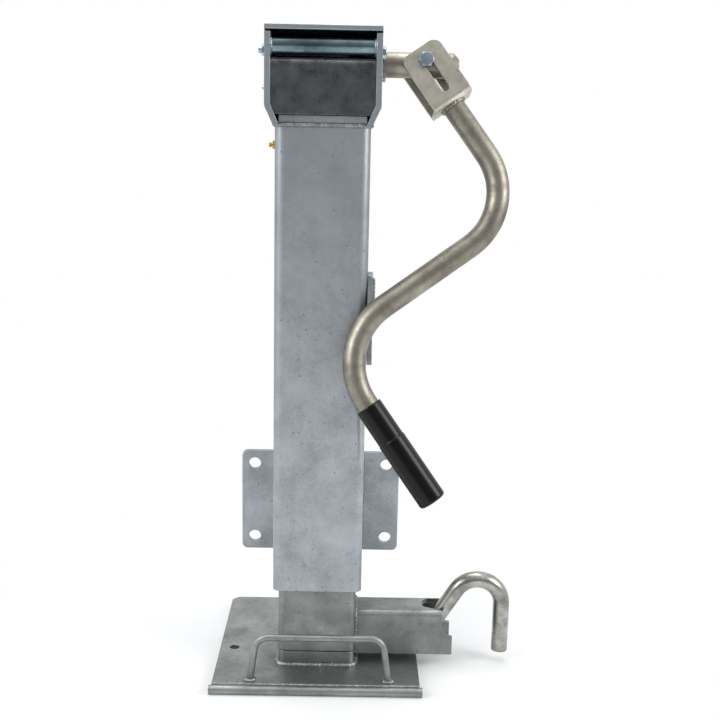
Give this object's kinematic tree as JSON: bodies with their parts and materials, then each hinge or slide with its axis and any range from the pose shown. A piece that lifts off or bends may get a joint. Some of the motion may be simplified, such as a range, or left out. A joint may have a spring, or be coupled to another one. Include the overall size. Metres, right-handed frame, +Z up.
{
  "type": "drop leg trailer jack",
  "caption": "Side-wind trailer jack: square telescoping tubes, bevel gear head with folding crank, pin-locked drop leg, square foot and rear mounting plate.",
  "frame": {"origin": "axis of the square tubes at the underside of the foot plate", "axes": "+Z up along the tubes, +X the crank side, -Y the front, away from the mounting plate"},
  "size_m": [0.3072, 0.2401, 0.6435],
  "materials": {
    "galvanised": "hot dip galvanised steel, mottled grey",
    "dark_zinc": "dark shiny zinc plated sheet",
    "zinc": "bright zinc plated steel",
    "satin_nickel": "satin nickel grey plated steel",
    "gear_steel": "machined oiled steel",
    "bearing_steel": "ground bearing steel",
    "brass": "turned brass",
    "rubber": "black rubber seal",
    "black_plastic": "glossy black plastic grip"
  },
  "bodies": {
    "column": {"outer_tube": "galvanised", "mounting_plate": "galvanised", "gear_housing": "galvanised", "bearing_plate": "galvanised", "front_cover": "dark_zinc", "cover_screw": "zinc", "cross_bar": "zinc", "tie_bolt": "zinc", "tie_nut": "zinc", "top_cover": "galvanised", "cover_seal": "rubber", "cover_screws": "zinc", "shaft_bush": "gear_steel", "race_fixed": "bearing_steel", "grease_nipple": "brass", "handle_rest": "galvanised"},
    "crank_shaft": {"input_shaft": "zinc", "bevel_pinion": "gear_steel"},
    "handle_pivot": {"handle_bolt": "zinc", "handle_nut": "zinc"},
    "handle": {"clevis": "satin_nickel", "crank_tube": "satin_nickel", "hand_grip": "black_plastic"},
    "screw": {"lead_screw": "gear_steel", "bevel_wheel": "gear_steel", "wheel_spacer": "gear_steel", "race_turning": "bearing_steel", "thrust_balls": "bearing_steel", "ball_cage": "brass"},
    "lift_leg": {"lift_tube": "galvanised", "lift_nut": "gear_steel", "lock_guard": "galvanised", "lock_guide": "galvanised", "lock_spring": "bearing_steel"},
    "foot_leg": {"drop_leg": "galvanised", "leg_socket": "galvanised", "foot_plate": "galvanised", "foot_edge_bar": "galvanised", "foot_bail": "zinc"},
    "pull_pin": {"lock_pin": "zinc", "lock_collar": "zinc", "lock_roll_pin": "bearing_steel"}
  },
  "joints": [
    {"name": "crank_turn", "type": "hinge", "parent": "column", "child": "crank_shaft", "pos_m": [0.06, 0, 0.6117], "axis": [-1, 0, 0], "range_deg": [0, 325]},
    {"name": "screw_turn", "type": "hinge", "parent": "column", "child": "screw", "pos_m": [0, 0, 0.3], "axis": [0, 0, 1], "range_deg": [-162.5, 0]},
    {"name": "handle_swivel", "type": "hinge", "parent": "crank_shaft", "child": "handle_pivot", "pos_m": [0.096, 0, 0.6117], "axis": [0, -0.9703, 0.2419], "range_deg": [0, 54.7]},
    {"name": "handle_slide", "type": "slide", "parent": "handle_pivot", "child": "handle", "axis": [-0.5779, 0.1974, 0.7919], "range_m": [0, 0.009]},
    {"name": "lift_travel", "type": "slide", "parent": "column", "child": "lift_leg", "axis": [0, 0, -1], "range_m": [0, 0.33]},
    {"name": "drop_leg_travel", "type": "slide", "parent": "lift_leg", "child": "foot_leg", "axis": [0, 0, -1], "range_m": [0, 0.3]},
    {"name": "lock_pin_pull", "type": "slide", "parent": "lift_leg", "child": "pull_pin", "axis": [1, 0, 0], "range_m": [-0.009, 0.006], "deforming": ["lock_spring"]}
  ],
  "couplings": [
    {"joint": "screw_turn", "follows": "crank_turn", "ratio": -0.5}
  ]
}
